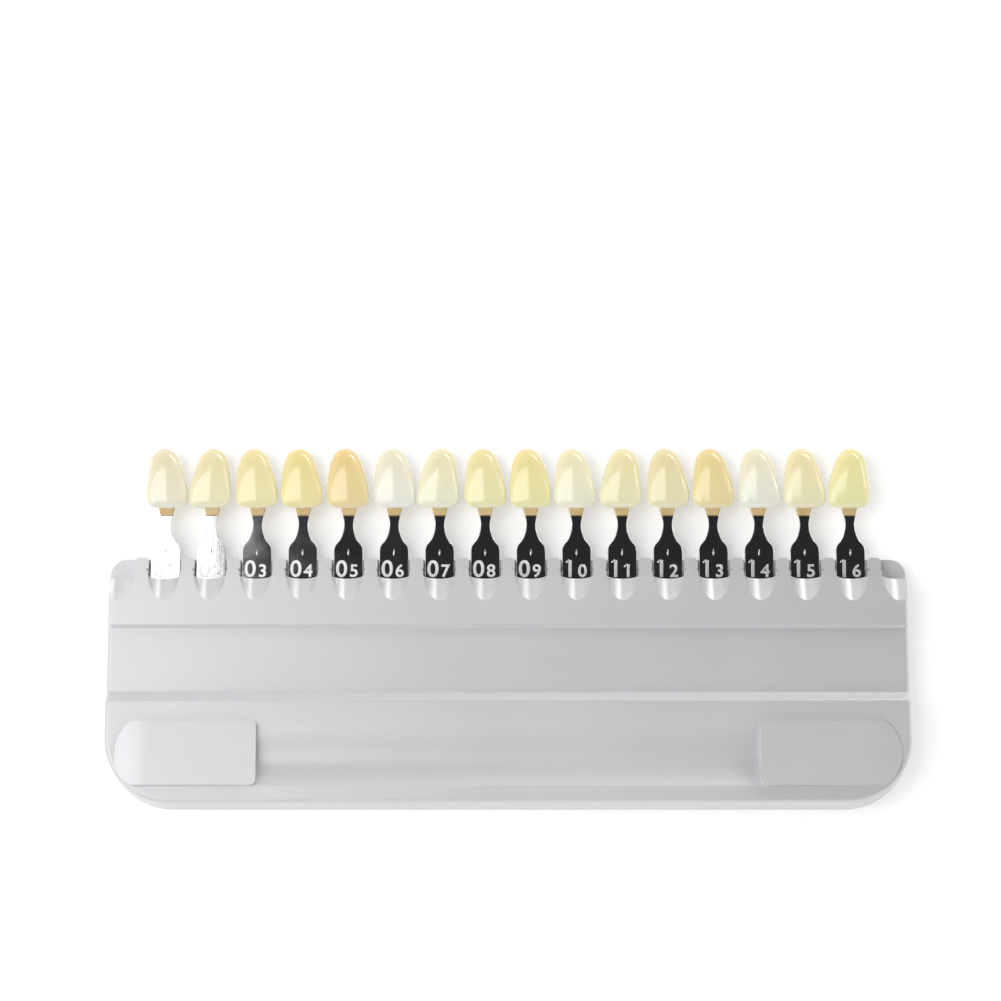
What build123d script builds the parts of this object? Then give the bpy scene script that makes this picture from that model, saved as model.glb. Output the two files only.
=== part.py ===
from build123d import *
import os
from math import cos, pi, radians, sin

# Dental shade guide: sixteen tooth samples in a row, each on a steel tab that slides into a
# slotted moulded holder. X runs along the row, Y from the grip up to the teeth, Z out of the
# front. The origin is the middle of the holder's flat back. All sizes are in millimetres.

# Row of samples
SAMPLE_COUNT = 16
ROW_MARGIN = 8.0

# Holder, outside
HOLDER_LENGTH = 200.0
HOLDER_HEIGHT = 62.9
FOOT_CORNER_R = 16.5
TOP_CORNER_R = 4.0
SIDE_DRAFT = 0.5
GRIP_DEPTH = 10.5
GRIP_HEIGHT = 25.8
GRIP_SLOPE = 2.2
PANEL_DEPTH = 8.0
BAND_RISE = 1.0
BAND_SLOPE = 0.7
BAND_HEIGHT = 12.5
FRONT_DROP = 5.2
RIM_R = 1.0
RIM_SLACK = 0.2
STEP_R = 0.9

# Trough and thumb pads on the grip
PAD_LENGTH = 35.0
PAD_HEIGHT = 16.0
PAD_END_GAP = 2.7
PAD_FOOT_GAP = 4.3
PAD_RISE = 1.3
PAD_END_RISE = 0.3
PAD_END_R = 9.7
PAD_CORNER_R = 1.5
PAD_CROWN = 8.0
TROUGH_DEPTH = 1.8
TROUGH_LIP_FALL = 0.5

# Walls, ribs and bosses inside the front moulding
WALL = 2.0
BACK_WALL = 2.0
RIB_COUNT = 7
RIB_THICKNESS = 1.2
RIB_GAP = 0.3
BOSS_R = 3.0
PIN_R = 1.5
PIN_LENGTH = 3.0
PIN_CLEARANCE = 0.05
BOSS_SPREAD = 0.22
BOSS_COLUMNS = 4
BOSS_LOW_Y = 10.5
BOSS_HIGH_Y = 35.0
BOSS_FLOOR_GAP = 0.4

# Slots for the tabs
SLOT_BED = 4.0
SLOT_DEPTH = 13.5
SLOT_FLOOR_WALL = 2.5
STRIP_PLAY = 0.15
SLOT_PLAY = 0.35
LUG_DEPTH = 6.5
LUG_GAP = 0.4
LUG_ROUNDING = 0.35
BUMP_DEPTH = 8.4
BUMP_HEIGHT = 1.9
BUMP_ROUNDING = 0.26
SEAM = 0.1

# Thumb scoops in the band
SCOOP_CLEARANCE = 0.05
SCOOP_ANGLE = 30.0
SCOOP_REACH = 6.3
SCOOP_TOOL = 14.0

# Steel tabs
STRIP = 0.6
TAB_WIDTH = 7.4
TAB_ROOT_R = 1.0
TAB_SHOULDER_Y = 64.4
TAB_NECK_Y = 70.9
TAB_TOP_Y = 74.2
TAB_NECK_WIDTH = 2.5
TAB_TOP_WIDTH = 3.2
FLARE_SHARE = 0.44
TOP_FLARE = 0.3
TONGUE_WIDTH = 1.8
TONGUE_LENGTH = 3.2

# Resin stems
STEM_FOOT_WIDTH = 2.9
STEM_HEAD_WIDTH = 3.8
STEM_DEPTH = 2.2
STEM_SHOWN = 1.6
STEM_SUNK = 4.6

# Tooth samples
TOOTH_GAP = 1.0
TOOTH_LENGTH = 15.9
TOOTH_FRONT = 4.4
TOOTH_BACK = 2.5
SECTION_POINTS = 8
SECTION_SQUARENESS = 0.8

# Height, left and right half width, front and back depth, as shares of the tooth sizes
TOOTH_STATIONS = [
    (0.0, 0.56, 0.60, 0.48, -0.32),
    (0.04, 0.83, 0.87, 0.61, -0.15),
    (0.11, 0.95, 0.99, 0.74, -0.02),
    (0.25, 1.0, 1.0, 0.88, 0.26),
    (0.60, 0.90, 0.76, 1.0, 0.92),
    (0.80, 0.82, 0.60, 0.92, 1.0),
    (0.91, 0.65, 0.39, 0.70, 0.80),
    (0.97, 0.42, 0.17, 0.43, 0.47),
    (0.995, 0.24, -0.02, 0.22, 0.20),
]

# Sideways lean of each tooth on its stem, and the side its wide corner lies on
TOOTH_LEANS = [0, -0.5, -0.4, -0.5, -0.3, 0, -0.4, -0.1, -0.2, -0.5, -0.3, 0.1, -0.1, 0.2, 0, -0.2]
TOOTH_SIDES = [1, -1, 1, 1, 1, 1, -1, 1, 1, 1, -1, 1, 1, 1, 1, -1]

# Heights along Y, all from the foot of the holder
foot_y = -HOLDER_HEIGHT / 2
top_y = foot_y + HOLDER_HEIGHT
front_top_y = top_y - FRONT_DROP
grip_top_y = foot_y + GRIP_HEIGHT
panel_low_y = grip_top_y + GRIP_SLOPE
band_low_y = front_top_y - BAND_HEIGHT
panel_top_y = band_low_y - BAND_SLOPE
slot_floor_y = front_top_y - SLOT_DEPTH
bed_low_y = slot_floor_y - SLOT_FLOOR_WALL
pad_low_y = foot_y + PAD_FOOT_GAP
pad_middle_y = pad_low_y + PAD_HEIGHT / 2
tab_top_y = foot_y + TAB_TOP_Y
tab_neck_y = foot_y + TAB_NECK_Y
tab_shoulder_y = foot_y + TAB_SHOULDER_Y
tooth_edge_y = tab_top_y + STEM_SHOWN

# Depths along Z, all from the flat back
band_depth = PANEL_DEPTH + BAND_RISE
strip_back_z = SLOT_BED + STRIP_PLAY
strip_middle_z = strip_back_z + STRIP / 2
slot_front_z = strip_back_z + STRIP + STRIP_PLAY
half_length = HOLDER_LENGTH / 2
pad_outer_x = half_length - PAD_END_GAP
pad_inner_x = pad_outer_x - PAD_LENGTH

# The row shares out the length of the holder, and the dividers take what the slots leave
sample_pitch = (HOLDER_LENGTH - 2 * ROW_MARGIN) / SAMPLE_COUNT
slot_width = TAB_WIDTH + 2 * SLOT_PLAY
divider_width = sample_pitch - slot_width
lug_r = divider_width * LUG_ROUNDING
bump_r = divider_width * BUMP_ROUNDING
scoop_r = slot_width / 2 + SCOOP_CLEARANCE
tooth_width = sample_pitch - TOOTH_GAP
boss_pitch = HOLDER_LENGTH * BOSS_SPREAD


def sample_x(index):
    """Middle of one slot, counted from the left; a half step lies on a divider."""
    return (index - (SAMPLE_COUNT - 1) / 2) * sample_pitch


boss_places = [
    ((column - (BOSS_COLUMNS - 1) / 2) * boss_pitch, foot_y + height)
    for column in range(BOSS_COLUMNS)
    for height in (BOSS_LOW_Y, BOSS_HIGH_Y)
]


def on_rim(edge):
    """True for the edges where the outer walls meet the front, other than along the slots."""
    middle = edge @ 0.5
    ends_z = ((edge @ 0).Z, (edge @ 1).Z)
    if min(ends_z) < PANEL_DEPTH - RIM_SLACK:
        return False
    at_foot = middle.Y < foot_y + FOOT_CORNER_R
    at_side = abs(middle.X) > half_length - WALL
    return at_foot or at_side


def outline_points(inset):
    """Corners of the holder's front outline, from the foot up."""
    side = half_length - inset
    return [(-side, foot_y + inset), (side, foot_y + inset), (side, top_y), (-side, top_y)]


# Hollow of the front moulding, with its ribs and bosses left standing
with BuildPart() as front_cavity:
    with BuildSketch(Plane.YZ) as cavity_section:
        with BuildLine():
            Polyline(
                (foot_y + WALL, 0),
                (foot_y + WALL, GRIP_DEPTH - TROUGH_DEPTH - WALL),
                (grip_top_y - WALL, GRIP_DEPTH - TROUGH_DEPTH - WALL),
                (panel_low_y, PANEL_DEPTH - WALL),
                (bed_low_y - SEAM, PANEL_DEPTH - WALL),
                (bed_low_y - SEAM, 0),
                close=True,
            )
        make_face()
    extrude(amount=half_length - WALL, both=True)
    with BuildSketch(Plane.XY) as cavity_outline:
        with BuildLine():
            Polyline(*outline_points(WALL), close=True)
        make_face()
        fillet(cavity_outline.vertices().group_by(Axis.Y)[0], radius=FOOT_CORNER_R - WALL)
    extrude(amount=GRIP_DEPTH, mode=Mode.INTERSECT)
    with BuildSketch(Plane.XY.offset(BACK_WALL + RIB_GAP)) as rib_plan:
        with GridLocations(HOLDER_LENGTH / (RIB_COUNT + 1), 1, RIB_COUNT, 1):
            Rectangle(RIB_THICKNESS, 2 * HOLDER_HEIGHT)
    extrude(amount=GRIP_DEPTH, mode=Mode.SUBTRACT)
    with BuildSketch(Plane.XY.offset(BACK_WALL)) as boss_plan:
        with Locations(*boss_places):
            Circle(BOSS_R)
    extrude(amount=GRIP_DEPTH, mode=Mode.SUBTRACT)

# Thumb pad at the left end of the grip, crowned towards its round end
with BuildPart() as thumb_pad:
    with BuildSketch(Plane.XZ.offset(-pad_low_y)) as pad_side:
        with BuildLine():
            crown_drop = PAD_RISE - PAD_END_RISE
            crown_r = (PAD_CROWN**2 + crown_drop**2) / (2 * crown_drop)
            outer_top = (-pad_outer_x, GRIP_DEPTH + PAD_END_RISE)
            crown_end = (-pad_outer_x + PAD_CROWN, GRIP_DEPTH + PAD_RISE)
            RadiusArc(outer_top, crown_end, crown_r)
            Polyline(
                crown_end,
                (-pad_inner_x, GRIP_DEPTH + PAD_RISE),
                (-pad_inner_x, GRIP_DEPTH - TROUGH_DEPTH - WALL / 2),
                (-pad_outer_x, GRIP_DEPTH - TROUGH_DEPTH - WALL / 2),
                outer_top,
            )
        make_face()
    extrude(amount=-PAD_HEIGHT)
    with BuildSketch(Plane.XY) as pad_outline:
        with BuildLine():
            bulge = PAD_END_R - (PAD_END_R**2 - (PAD_HEIGHT / 2) ** 2) ** 0.5
            low_end = (-pad_outer_x + bulge, pad_low_y)
            high_end = (-pad_outer_x + bulge, pad_low_y + PAD_HEIGHT)
            RadiusArc(low_end, high_end, PAD_END_R)
            FilletPolyline(
                high_end,
                (-pad_inner_x, pad_low_y + PAD_HEIGHT),
                (-pad_inner_x, pad_low_y),
                low_end,
                radius=PAD_CORNER_R,
            )
        make_face()
    extrude(amount=2 * GRIP_DEPTH, mode=Mode.INTERSECT)

# Front moulding: a stepped shell with draughted walls, open at its back
with BuildPart() as holder_front:
    with BuildSketch(Plane.YZ) as front_section:
        with BuildLine():
            FilletPolyline(
                (foot_y, BACK_WALL),
                (foot_y, GRIP_DEPTH),
                (grip_top_y, GRIP_DEPTH),
                (panel_low_y, PANEL_DEPTH),
                (panel_top_y, PANEL_DEPTH),
                (band_low_y, band_depth),
                (front_top_y, band_depth),
                (front_top_y, BACK_WALL),
                radius=[0, 0, STEP_R, STEP_R, 0, 0, 0, 0],
                close=True,
            )
        make_face()
    extrude(amount=half_length, both=True)
    with BuildSketch(Plane.XY.offset(BACK_WALL)) as front_outline:
        with BuildLine():
            Polyline(*outline_points(0), close=True)
        make_face()
        fillet(front_outline.vertices().group_by(Axis.Y)[0], radius=FOOT_CORNER_R)
    extrude(amount=GRIP_DEPTH, taper=SIDE_DRAFT, mode=Mode.INTERSECT)
    rim = holder_front.edges().filter_by(on_rim)
    fillet(rim, radius=RIM_R)
    # The finger trough between the two pads, sharp at its foot and running out at its top
    with BuildSketch(Plane.YZ) as trough_section:
        with BuildLine():
            trough_foot = (pad_low_y, GRIP_DEPTH)
            trough_top = (pad_low_y + PAD_HEIGHT, GRIP_DEPTH)
            Spline(
                trough_foot,
                (pad_middle_y, GRIP_DEPTH - TROUGH_DEPTH),
                trough_top,
                tangents=[(1, -TROUGH_LIP_FALL), (1, 0)],
            )
            Line(trough_top, trough_foot)
        make_face()
    extrude(amount=pad_inner_x, both=True, mode=Mode.SUBTRACT)
    add(thumb_pad.part)
    add(mirror(thumb_pad.part, about=Plane.YZ))
    add(front_cavity.part, mode=Mode.SUBTRACT)

    # Pocket that takes the slot bed of the back moulding
    with BuildSketch(Plane.XY) as bed_pocket:
        with Locations((0, (bed_low_y - SEAM + top_y) / 2)):
            Rectangle(2 * (half_length - WALL), top_y - bed_low_y + SEAM)
    extrude(amount=slot_front_z, mode=Mode.SUBTRACT)
    # Bores that the pins of the back moulding press into
    with BuildSketch(Plane.XY) as bore_plan:
        with Locations(*boss_places):
            Circle(PIN_R + PIN_CLEARANCE)
    extrude(amount=BACK_WALL + PIN_LENGTH + BOSS_FLOOR_GAP, mode=Mode.SUBTRACT)
    # Rounded bumps between the slots, on the wall's top edge
    for index in range(SAMPLE_COUNT + 1):
        with BuildSketch(Plane.XY.offset(slot_front_z)) as bump_plan:
            with Locations((sample_x(index - 0.5), front_top_y - bump_r)):
                RectangleRounded(
                    divider_width, BUMP_HEIGHT + bump_r, bump_r, align=(Align.CENTER, Align.MIN)
                )
        extrude(amount=BUMP_DEPTH - slot_front_z)
    # A slanting round scoop in front of each tab, and half a scoop at each end
    scoop_turn = radians(SCOOP_ANGLE)
    for index in range(-1, SAMPLE_COUNT + 1):
        scoop_axis = Plane(
            origin=(
                sample_x(index),
                front_top_y - SCOOP_REACH + scoop_r / sin(scoop_turn),
                band_depth,
            ),
            x_dir=(1, 0, 0),
            z_dir=(0, cos(scoop_turn), -sin(scoop_turn)),
        )
        with BuildSketch(scoop_axis) as scoop_section:
            Circle(scoop_r)
        extrude(amount=SCOOP_TOOL, both=True, mode=Mode.SUBTRACT)

holder_front.part.label = "holder_front"

# Back moulding: a flat plate with the bed, the dividers and the lugs of the tab slots
with BuildPart() as holder_back:
    with BuildSketch(Plane.XY) as plate_outline:
        with BuildLine():
            Polyline(*outline_points(0), close=True)
        make_face()
        fillet(plate_outline.vertices().group_by(Axis.Y)[0], radius=FOOT_CORNER_R)
        fillet(plate_outline.vertices().group_by(Axis.Y)[-1], radius=TOP_CORNER_R)
    extrude(amount=BACK_WALL)
    with BuildSketch(Plane.XY.offset(BACK_WALL)) as bed_outline:
        with Locations((0, top_y)):
            Rectangle(HOLDER_LENGTH, FRONT_DROP - SEAM, align=(Align.CENTER, Align.MAX))
        fillet(bed_outline.vertices().group_by(Axis.Y)[-1], radius=TOP_CORNER_R)
        with Locations((0, bed_low_y)):
            Rectangle(
                2 * (half_length - WALL - SEAM),
                front_top_y - bed_low_y + FRONT_DROP / 2,
                align=(Align.CENTER, Align.MIN),
            )
    extrude(amount=SLOT_BED - BACK_WALL)
    # Floor of the slots, and the dividers between them
    with BuildSketch(Plane.XY.offset(SLOT_BED)) as divider_plan:
        with Locations((0, bed_low_y)):
            Rectangle(
                2 * (half_length - WALL - SEAM),
                SLOT_FLOOR_WALL,
                align=(Align.CENTER, Align.MIN),
            )
        for index in range(SAMPLE_COUNT + 1):
            with Locations((sample_x(index - 0.5), slot_floor_y)):
                Rectangle(divider_width, SLOT_DEPTH, align=(Align.CENTER, Align.MIN))
    extrude(amount=slot_front_z - SLOT_BED)
    with BuildSketch(Plane.XY.offset(SLOT_BED)) as lug_plan:
        for index in range(SAMPLE_COUNT + 1):
            with Locations((sample_x(index - 0.5), front_top_y + BUMP_HEIGHT + LUG_GAP)):
                Rectangle(
                    divider_width,
                    FRONT_DROP - BUMP_HEIGHT - LUG_GAP,
                    align=(Align.CENTER, Align.MIN),
                )
        fillet(lug_plan.vertices().group_by(Axis.Y)[-1], radius=lug_r)
    extrude(amount=LUG_DEPTH - SLOT_BED)
    # Dividers go on under the bumps, up to the lugs
    with BuildSketch(Plane.XY.offset(SLOT_BED)) as neck_plan:
        for index in range(SAMPLE_COUNT + 1):
            with Locations((sample_x(index - 0.5), front_top_y)):
                Rectangle(divider_width, BUMP_HEIGHT + lug_r, align=(Align.CENTER, Align.MIN))
    extrude(amount=slot_front_z - SLOT_BED)
    with BuildSketch(Plane.XY.offset(BACK_WALL)) as pin_plan:
        with Locations(*boss_places):
            Circle(PIN_R)
    extrude(amount=PIN_LENGTH)

holder_back.part.label = "holder_back"


def make_tab(x):
    """Steel tab: a stamped strip with a square root, a bottle shoulder and a tongue."""
    half_root = TAB_WIDTH / 2
    half_neck = TAB_NECK_WIDTH / 2
    half_top = TAB_TOP_WIDTH / 2
    flare_y = (tab_neck_y + tab_shoulder_y) / 2
    with BuildPart() as tab:
        with BuildSketch(Plane((x, 0, strip_back_z))) as strip_outline:
            with BuildLine():
                Line((0, tab_top_y), (half_top, tab_top_y))
                Spline(
                    (half_top, tab_top_y),
                    (half_neck, tab_neck_y),
                    (half_neck + (half_root - half_neck) * FLARE_SHARE, flare_y),
                    (half_root, tab_shoulder_y),
                    tangents=[(-TOP_FLARE, -1), (0, -1)],
                )
                FilletPolyline(
                    (half_root, tab_shoulder_y),
                    (half_root, slot_floor_y),
                    (0, slot_floor_y),
                    radius=TAB_ROOT_R,
                )
                mirror(about=Plane.YZ)
            make_face()
            with Locations((0, tab_top_y)):
                Rectangle(TONGUE_WIDTH, TONGUE_LENGTH, align=(Align.CENTER, Align.MIN))
        extrude(amount=STRIP)
    return tab.part


def make_stem_blank(x):
    """Outer form of a resin stem, which flares from the steel up to the tooth."""
    half_foot = STEM_FOOT_WIDTH / 2
    half_head = STEM_HEAD_WIDTH / 2
    with BuildPart() as blank:
        with BuildSketch(Plane((x, 0, strip_middle_z))):
            Polygon(
                (-half_foot, tab_top_y),
                (half_foot, tab_top_y),
                (half_head, tooth_edge_y),
                (half_head, tooth_edge_y + STEM_SUNK),
                (-half_head, tooth_edge_y + STEM_SUNK),
                (-half_head, tooth_edge_y),
                align=None,
            )
        extrude(amount=STEM_DEPTH / 2, both=True)
    return blank.part


def make_stem(x, tab):
    """Resin stem, moulded over the tongue of its tab."""
    with BuildPart() as stem:
        add(make_stem_blank(x))
        add(tab, mode=Mode.SUBTRACT)
    return stem.part


def tooth_section(station, side):
    """Rounded cross-section of a tooth: left and right half widths, front and back depths."""
    _, left, right, front, back = station
    if side < 0:
        left, right = right, left
    half = (left + right) * tooth_width / 4
    centre_x = (right - left) * tooth_width / 4
    deep = (front * TOOTH_FRONT + back * TOOTH_BACK) / 2
    centre_z = (front * TOOTH_FRONT - back * TOOTH_BACK) / 2
    points = []
    for step in range(SECTION_POINTS):
        turn = 2 * pi * step / SECTION_POINTS
        across = abs(cos(turn)) ** SECTION_SQUARENESS
        points.append(
            (
                centre_x + half * (across if cos(turn) > 0 else -across),
                centre_z + deep * sin(turn),
            )
        )
    return points


def make_tooth(x, lean, side):
    """Upper front tooth, neck upwards, lofted from its cutting edge to its domed neck."""
    with BuildPart() as tooth:
        for station in TOOTH_STATIONS:
            height = tooth_edge_y + station[0] * TOOTH_LENGTH
            middle = (x + lean, height, strip_middle_z)
            section_plane = Plane(middle, x_dir=(1, 0, 0), z_dir=(0, -1, 0))
            with BuildSketch(section_plane):
                with BuildLine():
                    Spline(*tooth_section(station, side), periodic=True)
                make_face()
        loft()
        add(make_stem_blank(x), mode=Mode.SUBTRACT)
    return tooth.part


finished = [holder_front.part, holder_back.part]
for index in range(SAMPLE_COUNT):
    number = f"{index + 1:02d}"
    x = sample_x(index)
    tab = make_tab(x)
    tab.label = "tab_" + number
    stem = make_stem(x, tab)
    stem.label = "stem_" + number
    tooth = make_tooth(x, TOOTH_LEANS[index], TOOTH_SIDES[index])
    tooth.label = "tooth_" + number
    finished += [tab, stem, tooth]

os.makedirs("parts", exist_ok=True)
for piece in finished:
    export_step(piece, "parts/" + piece.label + ".step")
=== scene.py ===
import math

import bpy
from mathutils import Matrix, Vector


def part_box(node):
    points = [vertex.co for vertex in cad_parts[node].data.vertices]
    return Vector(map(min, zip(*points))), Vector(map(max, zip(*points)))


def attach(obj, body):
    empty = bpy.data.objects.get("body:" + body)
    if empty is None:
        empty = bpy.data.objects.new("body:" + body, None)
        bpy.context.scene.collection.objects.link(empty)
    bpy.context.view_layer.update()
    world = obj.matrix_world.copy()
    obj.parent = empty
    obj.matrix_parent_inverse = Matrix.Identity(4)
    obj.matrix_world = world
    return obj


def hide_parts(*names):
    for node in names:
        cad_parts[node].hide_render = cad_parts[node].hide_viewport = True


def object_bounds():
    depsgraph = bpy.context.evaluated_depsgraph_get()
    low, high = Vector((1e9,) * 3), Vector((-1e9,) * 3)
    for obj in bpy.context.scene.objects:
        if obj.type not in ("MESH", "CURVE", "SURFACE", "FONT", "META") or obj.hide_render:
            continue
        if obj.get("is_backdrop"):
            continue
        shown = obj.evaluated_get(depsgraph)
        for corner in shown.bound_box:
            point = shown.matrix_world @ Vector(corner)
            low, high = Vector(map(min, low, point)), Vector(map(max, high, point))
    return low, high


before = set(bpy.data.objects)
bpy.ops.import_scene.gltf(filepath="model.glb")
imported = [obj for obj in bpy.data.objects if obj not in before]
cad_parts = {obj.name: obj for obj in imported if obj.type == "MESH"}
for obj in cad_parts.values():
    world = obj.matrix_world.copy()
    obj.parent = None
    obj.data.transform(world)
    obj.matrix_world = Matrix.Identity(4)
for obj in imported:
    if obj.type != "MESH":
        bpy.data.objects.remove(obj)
cad_low, cad_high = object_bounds()


# Front moulding of the holder: one satin silver-grey plastic shell with a slotted band, a sunk
# panel and a thick grip. The moulded part is taken as it is built, its facets are joined, and
# every edge that the tool leaves sharp gets the small radius of a real moulding.
MM = 0.001
JOIN_WITHIN = 0.001 * MM
FLAT_WITHIN = math.radians(0.4)
EDGE_RADIUS = 0.2 * MM
SHARP_DEGREES = 24
SMOOTH_DEGREES_MORE = 10
HOLDER_GREY = (0.645, 0.65, 0.665, 1.0)
HOLDER_PALE = (0.70, 0.705, 0.72, 1.0)


def deselect_all():
    """Leaves nothing selected."""
    if bpy.context.object and bpy.context.object.mode != "OBJECT":
        bpy.ops.object.mode_set(mode="OBJECT")
    bpy.ops.object.select_all(action="DESELECT")


def take_over(node, name, body):
    """A copy of a built node with its facets joined, which stands for the node."""
    deselect_all()
    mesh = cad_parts[node].data.copy()
    mesh.name = name
    mesh.materials.clear()
    piece = bpy.data.objects.new(name, mesh)
    bpy.context.scene.collection.objects.link(piece)
    piece.select_set(True)
    bpy.context.view_layer.objects.active = piece
    bpy.ops.object.mode_set(mode="EDIT")
    bpy.ops.mesh.select_all(action="SELECT")
    bpy.ops.mesh.remove_doubles(threshold=JOIN_WITHIN)
    bpy.ops.mesh.dissolve_limited(angle_limit=FLAT_WITHIN)
    bpy.ops.object.mode_set(mode="OBJECT")
    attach(piece, body)
    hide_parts(node)
    return piece


def round_edges(piece, radius, segments=2):
    """Bevels the sharp edges, and shades smooth with the flat faces kept flat."""
    deselect_all()
    piece.select_set(True)
    bpy.context.view_layer.objects.active = piece
    bevel = piece.modifiers.new("edge", "BEVEL")
    bevel.width = radius
    bevel.segments = segments
    bevel.limit_method = "ANGLE"
    bevel.angle_limit = math.radians(SHARP_DEGREES)
    bevel.use_clamp_overlap = True
    bevel.miter_outer = "MITER_ARC"
    bpy.ops.object.modifier_apply(modifier="edge")
    bpy.ops.object.shade_smooth_by_angle(angle=math.radians(SHARP_DEGREES + SMOOTH_DEGREES_MORE))
    flatten = piece.modifiers.new("flatten", "WEIGHTED_NORMAL")
    flatten.weight = 100
    flatten.keep_sharp = True
    bpy.ops.object.modifier_apply(modifier="flatten")


def new_material(name):
    """An empty node material with its shader, output and object coordinates."""
    material = bpy.data.materials.new(name)
    material.use_nodes = True
    nodes = material.node_tree.nodes
    nodes.clear()
    output = nodes.new("ShaderNodeOutputMaterial")
    shader = nodes.new("ShaderNodeBsdfPrincipled")
    place = nodes.new("ShaderNodeTexCoord")
    material.node_tree.links.new(shader.outputs["BSDF"], output.inputs["Surface"])
    return material, shader, place


def noise(material, place, scale, detail, stretch=(1, 1, 1)):
    """A noise texture on the piece's own coordinates, stretched along an axis if asked."""
    nodes, links = material.node_tree.nodes, material.node_tree.links
    mapping = nodes.new("ShaderNodeMapping")
    mapping.inputs["Scale"].default_value = stretch
    texture = nodes.new("ShaderNodeTexNoise")
    texture.inputs["Scale"].default_value = scale
    texture.inputs["Detail"].default_value = detail
    links.new(place.outputs["Object"], mapping.inputs["Vector"])
    links.new(mapping.outputs["Vector"], texture.inputs["Vector"])
    return texture


def ramp(material, source, stops):
    """A colour ramp on a texture's value, from a list of (position, colour)."""
    nodes, links = material.node_tree.nodes, material.node_tree.links
    node = nodes.new("ShaderNodeValToRGB")
    while len(node.color_ramp.elements) < len(stops):
        node.color_ramp.elements.new(0.5)
    for element, (position, colour) in zip(node.color_ramp.elements, stops):
        element.position = position
        element.color = colour
    links.new(source, node.inputs["Fac"])
    return node


def map_range(material, source, low, high, to_low, to_high):
    """Turns one range of a value into another."""
    nodes, links = material.node_tree.nodes, material.node_tree.links
    node = nodes.new("ShaderNodeMapRange")
    node.inputs["From Min"].default_value = low
    node.inputs["From Max"].default_value = high
    node.inputs["To Min"].default_value = to_low
    node.inputs["To Max"].default_value = to_high
    links.new(source, node.inputs["Value"])
    return node


def bump(material, shader, source, distance, strength, before=None):
    """Adds a bump from a value to the shader, after an earlier bump if there is one."""
    nodes, links = material.node_tree.nodes, material.node_tree.links
    node = nodes.new("ShaderNodeBump")
    node.inputs["Distance"].default_value = distance
    node.inputs["Strength"].default_value = strength
    links.new(source, node.inputs["Height"])
    if before:
        links.new(before.outputs["Normal"], node.inputs["Normal"])
    links.new(node.outputs["Normal"], shader.inputs["Normal"])
    return node


def satin_moulding():
    """Silver-grey plastic: fine pigment, faint flow of the melt, satin skin."""
    material, shader, place = new_material("satin_moulding")
    links = material.node_tree.links
    shader.inputs["Metallic"].default_value = 0.2
    shader.inputs["IOR"].default_value = 1.5
    flow = noise(material, place, scale=14, detail=4, stretch=(0.5, 1.6, 1))
    tint = ramp(material, flow.outputs["Fac"], [(0.3, HOLDER_GREY), (0.7, HOLDER_PALE)])
    pigment = noise(material, place, scale=5200, detail=1)
    sparkle = map_range(
        material, pigment.outputs["Fac"], low=0.35, high=0.7, to_low=0.975, to_high=1.025
    )
    mix = material.node_tree.nodes.new("ShaderNodeVectorMath")
    mix.operation = "SCALE"
    links.new(tint.outputs["Color"], mix.inputs[0])
    links.new(sparkle.outputs["Result"], mix.inputs["Scale"])
    links.new(mix.outputs["Vector"], shader.inputs["Base Color"])
    wear = noise(material, place, scale=55, detail=5)
    gloss = map_range(
        material, wear.outputs["Fac"], low=0.3, high=0.7, to_low=0.29, to_high=0.37
    )
    links.new(gloss.outputs["Result"], shader.inputs["Roughness"])
    grain = noise(material, place, scale=1500, detail=2)
    fine = bump(material, shader, grain.outputs["Fac"], distance=0.012 * MM, strength=0.35)
    bump(material, shader, wear.outputs["Fac"], distance=0.03 * MM, strength=0.2, before=fine)
    return material


moulding = satin_moulding()
front = take_over("holder_front", "front_moulding", "holder")
round_edges(front, EDGE_RADIUS)
front.data.materials.append(moulding)


# Back moulding of the holder: the flat plate behind the tabs with the bed, the dividers and the
# lugs of the slots, in the same plastic as the front, pressed onto it by hidden pins.
back = take_over("holder_back", "back_moulding", "holder")
round_edges(back, EDGE_RADIUS)
back.data.materials.append(moulding)


# Steel tabs: strips stamped from polished stainless sheet, with rolled-over edges, a raised number
# near the slot and a small punch mark above it. Each number is struck from behind, so it stands
# proud with soft shoulders.
STRIP_EDGE = 0.16 * MM
FIRST_DIGIT = 4.4 * MM
SECOND_DIGIT = 3.3 * MM
FIRST_ACROSS = -1.65 * MM
SECOND_ACROSS = 1.5 * MM
CAP_SHARE = 0.729
DIGIT_RISE = 0.2 * MM
DIGIT_SUNK = 0.06 * MM
STROKE_ROUND = 0.18 * MM
STROKE_SPREAD = 0.02 * MM
STROKE_STEPS = 10
FLAG_LENGTH = 1.15 * MM
FLAG_WIDTH = 0.42 * MM
FLAG_DROP = 0.9
FLAG_TURN = math.radians(40)
STROKE_SHARP = math.radians(50)
DIGITS_ABOVE_WALL = 0.65 * MM
FRONT_DROP = 5.2 * MM
MARK_ABOVE_DIGITS = 1.9 * MM
MARK_WIDTH = 0.44 * MM
MARK_LENGTH = 1.7 * MM
MARK_RISE = 0.12 * MM
STEEL_GREY = (0.60, 0.60, 0.61, 1.0)
# The pale crown grey is painted light and the dark flank grey is painted shade on the struck
# numbers
CROWN_PAINTED_LIGHT = (0.95, 0.95, 0.95, 1.0)
FLANK_PAINTED_SHADE = (0.16, 0.16, 0.16, 1.0)

sample_ids = [f"{index + 1:02d}" for index in range(16)]
_, plate_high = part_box("holder_back")
wall_top_y = plate_high.y - FRONT_DROP


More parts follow.
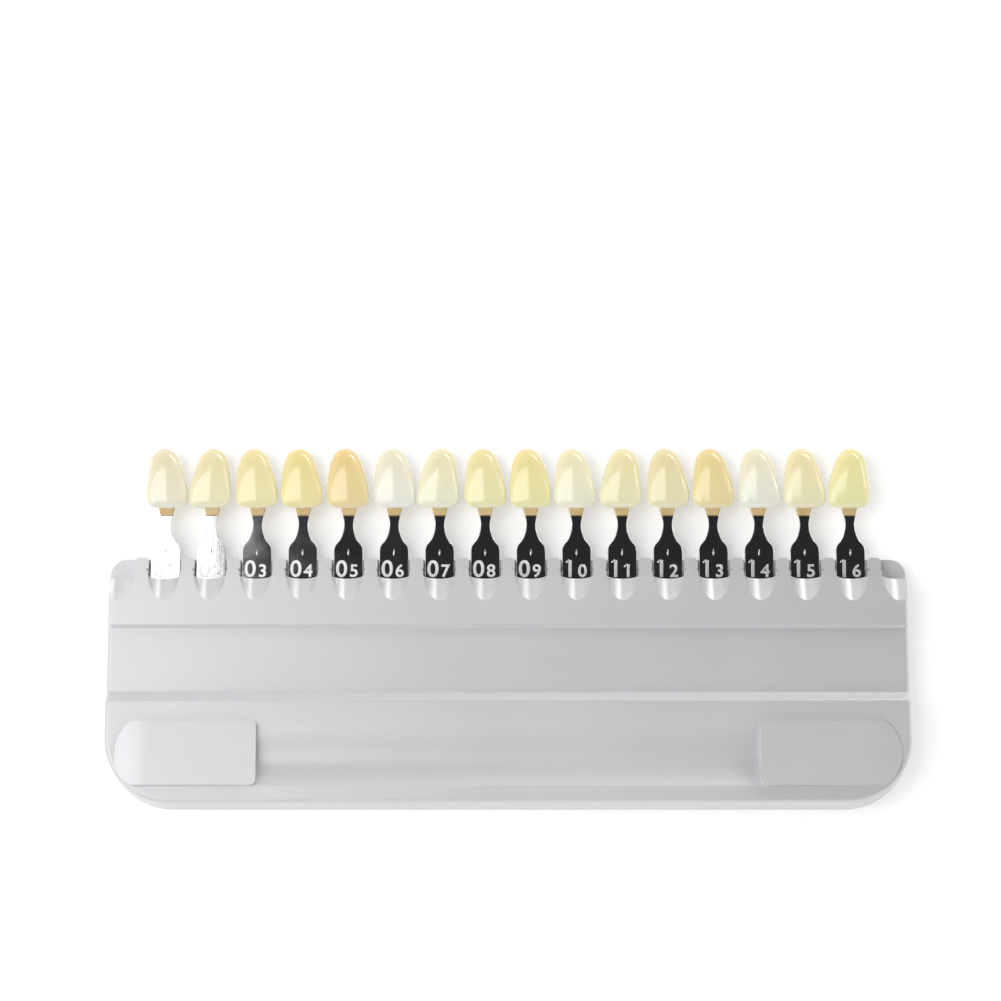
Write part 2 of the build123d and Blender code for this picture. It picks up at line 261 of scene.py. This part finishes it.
def polished_steel():
    """Stainless steel with fine polishing lines along the strip."""
    material, shader, place = new_material("polished_steel")
    links = material.node_tree.links
    shader.inputs["Base Color"].default_value = STEEL_GREY
    shader.inputs["Metallic"].default_value = 1.0
    lines = noise(material, place, scale=1400, detail=3, stretch=(1, 0.06, 1))
    smudge = noise(material, place, scale=160, detail=4)
    gloss = map_range(
        material, smudge.outputs["Fac"], low=0.3, high=0.75, to_low=0.05, to_high=0.1
    )
    links.new(gloss.outputs["Result"], shader.inputs["Roughness"])
    first = bump(material, shader, lines.outputs["Fac"], distance=0.003 * MM, strength=0.5)
    bump(material, shader, smudge.outputs["Fac"], distance=0.015 * MM, strength=0.3, before=first)
    return material


def struck_steel():
    """The struck numbers: worn matt on their crowns and glossy on their flanks, with painted light
    making the crowns pale and painted shade making the flanks dark.
    """
    material, shader, place = new_material("struck_steel")
    nodes, links = material.node_tree.nodes, material.node_tree.links
    # Painted light and shade: faces turned up are painted pale and faces turned aside are painted
    # dark
    facing = nodes.new("ShaderNodeSeparateXYZ")
    links.new(place.outputs["Normal"], facing.inputs["Vector"])
    tint = ramp(material, facing.outputs["Z"], [(0.3, FLANK_PAINTED_SHADE), (0.75, CROWN_PAINTED_LIGHT)])
    links.new(tint.outputs["Color"], shader.inputs["Base Color"])
    metal = map_range(material, facing.outputs["Z"], low=0.5, high=0.85, to_low=1.0, to_high=0.6)
    links.new(metal.outputs["Result"], shader.inputs["Metallic"])
    gloss = map_range(material, facing.outputs["Z"], low=0.5, high=0.85, to_low=0.1, to_high=0.34)
    links.new(gloss.outputs["Result"], shader.inputs["Roughness"])
    grain = noise(material, place, scale=900, detail=2)
    bump(material, shader, grain.outputs["Fac"], distance=0.01 * MM, strength=0.4)
    return material


steel = polished_steel()
struck = struck_steel()


def strike_digit(digit, height, centre_x, base_y, face_z):
    """One raised digit on the face of a tab, with rounded strokes."""
    deselect_all()
    bpy.ops.object.text_add(location=(0, 0, 0))
    mark = bpy.context.object
    mark.data.body = digit
    mark.data.size = height / CAP_SHARE
    mark.data.align_x = "CENTER"
    mark.data.resolution_u = STROKE_STEPS
    mark.data.offset = STROKE_SPREAD
    mark.data.extrude = DIGIT_RISE / 2 - STROKE_ROUND / 2
    mark.data.bevel_depth = STROKE_ROUND / 2
    mark.data.bevel_resolution = 2
    bpy.ops.object.convert(target="MESH")
    mark = bpy.context.object

    # The figure one has a stronger flag than the type gives it
    if digit == "1":
        bpy.ops.mesh.primitive_cube_add(
            size=1,
            location=(-FLAG_LENGTH / 2, height - FLAG_WIDTH * FLAG_DROP, 0),
            rotation=(0, 0, FLAG_TURN),
        )
        flag = bpy.context.object
        flag.scale = (FLAG_LENGTH, FLAG_WIDTH, DIGIT_RISE)
        bpy.ops.object.transform_apply(location=True, rotation=True, scale=True)
        round_edges(flag, STROKE_ROUND / 2)
        mark.select_set(True)
        bpy.context.view_layer.objects.active = mark
        bpy.ops.object.join()
    mark.location = (centre_x, base_y, face_z + DIGIT_RISE / 2 - DIGIT_SUNK)
    bpy.ops.object.transform_apply(location=True, rotation=True, scale=True)
    bpy.ops.object.shade_smooth_by_angle(angle=STROKE_SHARP)
    return mark


def punch_mark(centre_x, centre_y, face_z):
    """Short upright rib from the gauge punch, with soft ends."""
    deselect_all()
    bpy.ops.mesh.primitive_uv_sphere_add(
        segments=20, ring_count=10, radius=1, location=(centre_x, centre_y, face_z)
    )
    mark = bpy.context.object
    mark.scale = (MARK_WIDTH / 2, MARK_LENGTH / 2, MARK_RISE)
    bpy.ops.object.transform_apply(location=True, rotation=True, scale=True)
    bpy.ops.object.shade_smooth()
    return mark


for number_id in sample_ids:
    body = "shade_" + number_id
    strip = take_over("tab_" + number_id, "steel_tab_" + number_id, body)
    round_edges(strip, STRIP_EDGE)
    strip.data.materials.append(steel)
    low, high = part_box("tab_" + number_id)
    centre_x = (low.x + high.x) / 2
    base_y = wall_top_y + DIGITS_ABOVE_WALL
    tens = strike_digit(number_id[0], FIRST_DIGIT, centre_x + FIRST_ACROSS, base_y, high.z)
    tens.name = "first_digit_" + number_id
    units = strike_digit(number_id[1], SECOND_DIGIT, centre_x + SECOND_ACROSS, base_y, high.z)
    units.name = "second_digit_" + number_id
    mark = punch_mark(centre_x, base_y + FIRST_DIGIT + MARK_ABOVE_DIGITS, high.z)
    mark.name = "punch_mark_" + number_id
    for piece, finish in ((tens, struck), (units, struck), (mark, steel)):
        piece.data.materials.append(finish)
        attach(piece, body)


# Resin stems: short tan blocks moulded over the tongue of each tab, which the tooth is set on.
# The built block is kept, with its corners rounded as the mould leaves them.
STEM_EDGE = 0.35 * MM
STEM_TAN = (0.66, 0.48, 0.21, 1.0)
STEM_PALE = (0.73, 0.56, 0.29, 1.0)


def stem_resin():
    """Tan self-curing resin, a little cloudy."""
    material, shader, place = new_material("stem_resin")
    links = material.node_tree.links
    clouds = noise(material, place, scale=380, detail=2)
    tint = ramp(material, clouds.outputs["Fac"], [(0.35, STEM_TAN), (0.65, STEM_PALE)])
    links.new(tint.outputs["Color"], shader.inputs["Base Color"])
    shader.inputs["Roughness"].default_value = 0.38
    shader.inputs["Subsurface Weight"].default_value = 0.1
    shader.inputs["Subsurface Radius"].default_value = (0.8 * MM, 0.5 * MM, 0.25 * MM)
    bump(material, shader, clouds.outputs["Fac"], distance=0.04 * MM, strength=0.3)
    return material


tan_resin = stem_resin()
for number_id in sample_ids:
    body = "shade_" + number_id
    stem = take_over("stem_" + number_id, "resin_stem_" + number_id, body)
    round_edges(stem, STEM_EDGE, segments=3)
    stem.data.materials.append(tan_resin)


# Tooth samples: upper front teeth moulded in glossy translucent resin, one in each shade, neck
# upwards. Each is drawn up ring by ring from its cutting edge, smoothed, and set on its stem.
# A ring is its share of the length, of the half width left and right, and of the depth each way.
RING_POINTS = 16
TOOTH_RINGS = [
    (0.0, 0.50, 0.58, 0.46, -0.34),
    (0.035, 0.79, 0.87, 0.60, -0.17),
    (0.10, 0.94, 0.985, 0.73, -0.04),
    (0.25, 1.0, 1.0, 0.88, 0.26),
    (0.43, 0.96, 0.91, 0.97, 0.64),
    (0.62, 0.90, 0.76, 1.0, 0.93),
    (0.80, 0.83, 0.61, 0.92, 1.0),
    (0.91, 0.67, 0.41, 0.70, 0.80),
    (0.97, 0.45, 0.20, 0.43, 0.47),
    (0.998, 0.27, 0.01, 0.22, 0.20),
]
GROOVE_RINGS = range(1, 6)
GROOVE_DEPTH = 0.25 * MM
SAME_SPOT = 0.01 * MM
SMOOTH_LEVELS = 3
FIT = 0.998
TOOTH_FRONT = 4.4 * MM
TOOTH_BACK = 2.5 * MM
# A painted glow on the sides of each tooth, standing for light that comes through the resin
RIM_PAINTED_GLOW = (0.95, 0.92, 0.78, 1.0)
EDGE_FACTORS = (0.93, 0.97, 1.12)
PALE_FACTORS = (1.03, 1.05, 1.12)
PALE_LIMITS = (0.93, 0.92, 0.9)
NECK_FACTORS = (0.96, 0.91, 0.78)
NO_LIMITS = (math.inf, math.inf, math.inf)
NECK_HEIGHT = 0.92
CLOUD_SHARE = 0.08
WIDE_LEFT = {"02", "07", "11", "16"}
SHADES = {
    "01": (0.88, 0.82, 0.62),
    "02": (0.90, 0.83, 0.54),
    "03": (0.91, 0.82, 0.46),
    "04": (0.92, 0.80, 0.40),
    "05": (0.89, 0.72, 0.36),
    "06": (0.92, 0.89, 0.73),
    "07": (0.93, 0.88, 0.63),
    "08": (0.93, 0.85, 0.48),
    "09": (0.93, 0.84, 0.43),
    "10": (0.95, 0.90, 0.65),
    "11": (0.94, 0.86, 0.54),
    "12": (0.90, 0.82, 0.51),
    "13": (0.91, 0.77, 0.40),
    "14": (0.95, 0.91, 0.72),
    "15": (0.95, 0.86, 0.54),
    "16": (0.95, 0.88, 0.46),
}


def shifted(colour, factors, limits=NO_LIMITS):
    """A shade with each of its parts raised or lowered, and held under a limit."""
    parts = [min(part * factor, limit) for part, factor, limit in zip(colour, factors, limits)]
    return (*parts, 1)


def tooth_resin(number_id, colour, low_y, high_y):
    """One shade: deeper at the neck, paler and clearer towards the cutting edge."""
    material, shader, place = new_material("tooth_shade_" + number_id)
    nodes, links = material.node_tree.nodes, material.node_tree.links
    split = nodes.new("ShaderNodeSeparateXYZ")
    links.new(place.outputs["Object"], split.inputs["Vector"])
    clouds = noise(material, place, scale=260, detail=2)
    height = map_range(
        material, split.outputs["Y"], low=low_y, high=high_y, to_low=0.0, to_high=NECK_HEIGHT
    )
    cloudy_height = nodes.new("ShaderNodeMath")
    cloudy_height.operation = "MULTIPLY_ADD"
    cloudy_height.inputs[1].default_value = CLOUD_SHARE
    links.new(clouds.outputs["Fac"], cloudy_height.inputs[0])
    links.new(height.outputs["Result"], cloudy_height.inputs[2])
    edge = shifted(colour, EDGE_FACTORS)
    pale = shifted(colour, PALE_FACTORS, PALE_LIMITS)
    neck = shifted(colour, NECK_FACTORS)
    tint = ramp(
        material,
        cloudy_height.outputs["Value"],
        [(0.02, edge), (0.16, pale), (0.5, (*colour, 1)), (0.95, neck)],
    )

    # Painted light: the sides that turn away from the front are painted creamier, standing for
    # light that comes through them
    facing = nodes.new("ShaderNodeSeparateXYZ")
    links.new(place.outputs["Normal"], facing.inputs["Vector"])
    rim_glow_mask = map_range(material, facing.outputs["Z"], low=0.6, high=0.1, to_low=0.0, to_high=0.85)
    blend = nodes.new("ShaderNodeMix")
    blend.data_type = "RGBA"
    blend.inputs["B"].default_value = RIM_PAINTED_GLOW
    links.new(rim_glow_mask.outputs["Result"], blend.inputs["Factor"])
    links.new(tint.outputs["Color"], blend.inputs["A"])
    links.new(blend.outputs["Result"], shader.inputs["Base Color"])
    shader.inputs["Roughness"].default_value = 0.16
    shader.inputs["IOR"].default_value = 1.52
    shader.inputs["Coat Weight"].default_value = 0.35
    shader.inputs["Coat Roughness"].default_value = 0.03
    shader.inputs["Subsurface Weight"].default_value = 0.35
    shader.inputs["Subsurface Radius"].default_value = (1.6 * MM, 1.1 * MM, 0.6 * MM)
    shader.inputs["Subsurface Scale"].default_value = 1.0
    bands = noise(material, place, scale=330, detail=2, stretch=(0.35, 2.4, 1))
    bump(material, shader, bands.outputs["Fac"], distance=0.05 * MM, strength=0.3)
    return material


def draw_tooth(name, core_x, low, high, core_z, side):
    """A tooth drawn up ring by ring from its cutting edge, grooved, smoothed and fitted."""
    length = high.y - low.y
    half_width = (high.x - low.x) / 2
    deselect_all()
    bpy.ops.mesh.primitive_circle_add(
        vertices=RING_POINTS, radius=1, fill_type="NGON", rotation=(math.radians(90), 0, 0)
    )
    tooth = bpy.context.object
    tooth.name = name
    bpy.ops.object.transform_apply(location=False, rotation=True, scale=False)
    bpy.ops.object.mode_set(mode="EDIT")
    bpy.ops.mesh.select_all(action="SELECT")
    before = (1.0, 1.0)
    middle = Vector((0, 0, 0))
    groove_spots = []
    for index, (height, left, right, front_depth, back_depth) in enumerate(TOOTH_RINGS):
        if side < 0:
            left, right = right, left
        wide = (left + right) * half_width / 2
        deep = (front_depth * TOOTH_FRONT + back_depth * TOOTH_BACK) / 2
        place = Vector((
            core_x + (right - left) * half_width / 2,
            low.y + height * length,
            core_z + (front_depth * TOOTH_FRONT - back_depth * TOOTH_BACK) / 2,
        ))
        if index:
            bpy.ops.mesh.extrude_region_move()
        bpy.ops.transform.resize(
            value=(wide / before[0], 1, deep / before[1]), center_override=tuple(middle)
        )
        bpy.ops.transform.translate(value=tuple(place - middle))
        before = (wide, deep)
        middle = place
        if index in GROOVE_RINGS:
            turn = 2 * math.pi / RING_POINTS
            across = wide * math.sin(turn)
            forward = deep * math.cos(turn)
            groove_spots.append(place + Vector((across, 0, forward)))
            groove_spots.append(place + Vector((-across, 0, forward)))

    # Two shallow grooves down the front part its three lobes
    bpy.ops.mesh.select_all(action="DESELECT")
    bpy.ops.object.mode_set(mode="OBJECT")
    for vertex in tooth.data.vertices:
        vertex.select = any((vertex.co - spot).length < SAME_SPOT for spot in groove_spots)
    bpy.ops.object.mode_set(mode="EDIT")
    bpy.ops.transform.translate(value=(0, 0, -GROOVE_DEPTH))
    bpy.ops.mesh.select_all(action="SELECT")
    bpy.ops.mesh.normals_make_consistent(inside=False)
    bpy.ops.object.mode_set(mode="OBJECT")
    smooth = tooth.modifiers.new("smooth", "SUBSURF")
    smooth.levels = SMOOTH_LEVELS
    smooth.render_levels = SMOOTH_LEVELS
    bpy.ops.object.modifier_apply(modifier="smooth")
    bpy.ops.object.shade_smooth()

    # Smoothing draws the form in a little, so it is brought back to its full size
    corners = [vertex.co for vertex in tooth.data.vertices]
    drawn_low = Vector([min(corner[axis] for corner in corners) for axis in range(3)])
    drawn_high = Vector([max(corner[axis] for corner in corners) for axis in range(3)])
    full = (high - low) * FIT
    drawn = drawn_high - drawn_low
    bpy.ops.object.mode_set(mode="EDIT")
    bpy.ops.mesh.select_all(action="SELECT")
    bpy.ops.transform.resize(
        value=tuple(full[axis] / drawn[axis] for axis in range(3)),
        center_override=tuple((drawn_low + drawn_high) / 2),
    )
    bpy.ops.transform.translate(value=tuple((low + high - drawn_low - drawn_high) / 2))
    bpy.ops.object.mode_set(mode="OBJECT")
    return tooth


for number_id in sample_ids:
    low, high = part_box("tooth_" + number_id)
    stem_low, stem_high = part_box("stem_" + number_id)
    tooth = draw_tooth(
        "tooth_sample_" + number_id,
        (low.x + high.x) / 2,
        low,
        high,
        (stem_low.z + stem_high.z) / 2,
        -1 if number_id in WIDE_LEFT else 1,
    )
    tooth.data.materials.append(tooth_resin(number_id, SHADES[number_id], low.y, high.y))
    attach(tooth, "shade_" + number_id)
    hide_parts("tooth_" + number_id)


# Floor: a plain pale table top just under the flat back, which keeps the shadow of the guide. It
# is lifted to white only where the camera, or a ray off steel or through resin, looks at it.
FLOOR_SIZE = 6
FLOOR_WHITE = (0.90, 0.90, 0.90, 1.0)
FLOOR_GAP = 0.02 * MM
FLOOR_LIFT = 0.3

deselect_all()
bpy.ops.mesh.primitive_plane_add(size=FLOOR_SIZE, location=(0, 0, cad_low.z - FLOOR_GAP))
floor = bpy.context.object
floor.name = "floor"
floor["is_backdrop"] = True
paper, floor_shader, _ = new_material("pale_floor")
floor_shader.inputs["Base Color"].default_value = FLOOR_WHITE
floor_shader.inputs["Roughness"].default_value = 0.9
floor_shader.inputs["Specular IOR Level"].default_value = 0.1
floor_nodes, floor_links = paper.node_tree.nodes, paper.node_tree.links
paths = floor_nodes.new("ShaderNodeLightPath")
seen_or_glossy = floor_nodes.new("ShaderNodeMath")
seen_or_glossy.operation = "MAXIMUM"
any_look = floor_nodes.new("ShaderNodeMath")
any_look.operation = "MAXIMUM"
floor_links.new(paths.outputs["Is Camera Ray"], seen_or_glossy.inputs[0])
floor_links.new(paths.outputs["Is Glossy Ray"], seen_or_glossy.inputs[1])
floor_links.new(seen_or_glossy.outputs["Value"], any_look.inputs[0])
floor_links.new(paths.outputs["Is Transmission Ray"], any_look.inputs[1])
lift = map_range(paper, any_look.outputs["Value"], low=0, high=1, to_low=0, to_high=FLOOR_LIFT)
floor_shader.inputs["Emission Color"].default_value = (1, 1, 1, 1)
floor_links.new(lift.outputs["Result"], floor_shader.inputs["Emission Strength"])
floor.data.materials.append(paper)


# Studio: a large oblong softbox overhead on the left with its edges along the table, a low wide
# one behind on the right, two strips on the right that draw short lights on the teeth, a soft
# front fill, and a room that is pale at the horizon and dim overhead.
KEY_PLACE = (-0.804, -0.10, 1.0)
REAR_PLACE = (0.60, 1.12, 0.34)
FRONT_PLACE = (0.3, -1.0, 0.6)
UPPER_PLACE = (0.74, 0.82, 0.36)
LOWER_PLACE = (1.02, 0.36, 0.34)
STRIP_RADIANCE = 11.0
HORIZON_WHITE = (1.0, 1.0, 1.0, 1)
OVERHEAD_DIM = (0.032, 0.032, 0.034, 1)
ROOM_STRENGTH = 1.02
MORE_TO_RIGHT = 0.06
MORE_TO_REAR = 0.12


def soft_light(name, location, turn, width, height, radiance):
    """A rectangular softbox with a given turn and brightness of its face."""
    data = bpy.data.lights.new(name, "AREA")
    data.shape = "RECTANGLE"
    data.size = width
    data.size_y = height
    data.energy = radiance * math.pi * width * height
    lamp = bpy.data.objects.new(name, data)
    bpy.context.scene.collection.objects.link(lamp)
    lamp.location = location
    lamp.rotation_euler = turn
    lamp.visible_camera = False


def facing_light(name, location, width, height, radiance):
    """A softbox that faces the middle of the guide."""
    turn = (-Vector(location)).to_track_quat("-Z", "Y").to_euler()
    soft_light(name, location, turn, width, height, radiance)


soft_light("key_light", KEY_PLACE, turn=(0, 0, 0), width=1.3, height=0.95, radiance=3.0)
facing_light("rear_strip", REAR_PLACE, width=0.60, height=0.12, radiance=STRIP_RADIANCE)
facing_light("front_light", FRONT_PLACE, width=1.0, height=0.3, radiance=1.6)
facing_light("upper_strip", UPPER_PLACE, width=0.30, height=0.08, radiance=STRIP_RADIANCE)
facing_light("lower_strip", LOWER_PLACE, width=0.30, height=0.08, radiance=STRIP_RADIANCE)

world = bpy.data.worlds.new("studio")
bpy.context.scene.world = world
world.use_nodes = True
world_nodes, world_links = world.node_tree.nodes, world.node_tree.links
world_nodes.clear()
world_output = world_nodes.new("ShaderNodeOutputWorld")
backdrop = world_nodes.new("ShaderNodeBackground")
direction = world_nodes.new("ShaderNodeTexCoord")
axes = world_nodes.new("ShaderNodeSeparateXYZ")
sky = world_nodes.new("ShaderNodeValToRGB")
horizon, overhead = sky.color_ramp.elements
horizon.position = 0.25
horizon.color = HORIZON_WHITE
overhead.position = 0.85
overhead.color = OVERHEAD_DIM
world_links.new(direction.outputs["Generated"], axes.inputs["Vector"])
world_links.new(axes.outputs["Z"], sky.inputs["Fac"])
world_links.new(sky.outputs["Color"], backdrop.inputs["Color"])
world_links.new(backdrop.outputs["Background"], world_output.inputs["Surface"])

# The room is a little brighter towards the right and the rear
across_room = world_nodes.new("ShaderNodeMath")
across_room.operation = "MULTIPLY_ADD"
across_room.inputs[1].default_value = MORE_TO_RIGHT
across_room.inputs[2].default_value = ROOM_STRENGTH
along_room = world_nodes.new("ShaderNodeMath")
along_room.operation = "MULTIPLY_ADD"
along_room.inputs[1].default_value = MORE_TO_REAR
world_links.new(axes.outputs["X"], across_room.inputs[0])
world_links.new(axes.outputs["Y"], along_room.inputs[0])
world_links.new(across_room.outputs["Value"], along_room.inputs[2])
world_links.new(along_room.outputs["Value"], backdrop.inputs["Strength"])


# Camera: above the guide and a little towards its foot, at the photograph's distance and framing.
# Its lens is worked out for the square frame of the render.
CAMERA_TILT = math.radians(14)
CAMERA_DISTANCE = 909 * MM
CAMERA_TARGET = Vector((-1.9 * MM, cad_low.y + 77.8 * MM, 6.0 * MM))
SENSOR_WIDTH = 36
PIXELS_ACROSS = 1001
FOCAL_PIXELS = 3600

camera_data = bpy.data.cameras.new("camera")
camera = bpy.data.objects.new("camera", camera_data)
bpy.context.scene.collection.objects.link(camera)
camera_data.sensor_width = SENSOR_WIDTH
camera_data.lens = FOCAL_PIXELS / PIXELS_ACROSS * SENSOR_WIDTH
camera_data.clip_start = 0.01
camera_data.clip_end = 20
camera.location = CAMERA_TARGET + CAMERA_DISTANCE * Vector(
    (0, -math.sin(CAMERA_TILT), math.cos(CAMERA_TILT))
)
camera.rotation_euler = (CAMERA_TILT, 0, 0)
bpy.context.scene.camera = camera
bpy.context.scene.view_settings.view_transform = "Standard"

low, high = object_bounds()
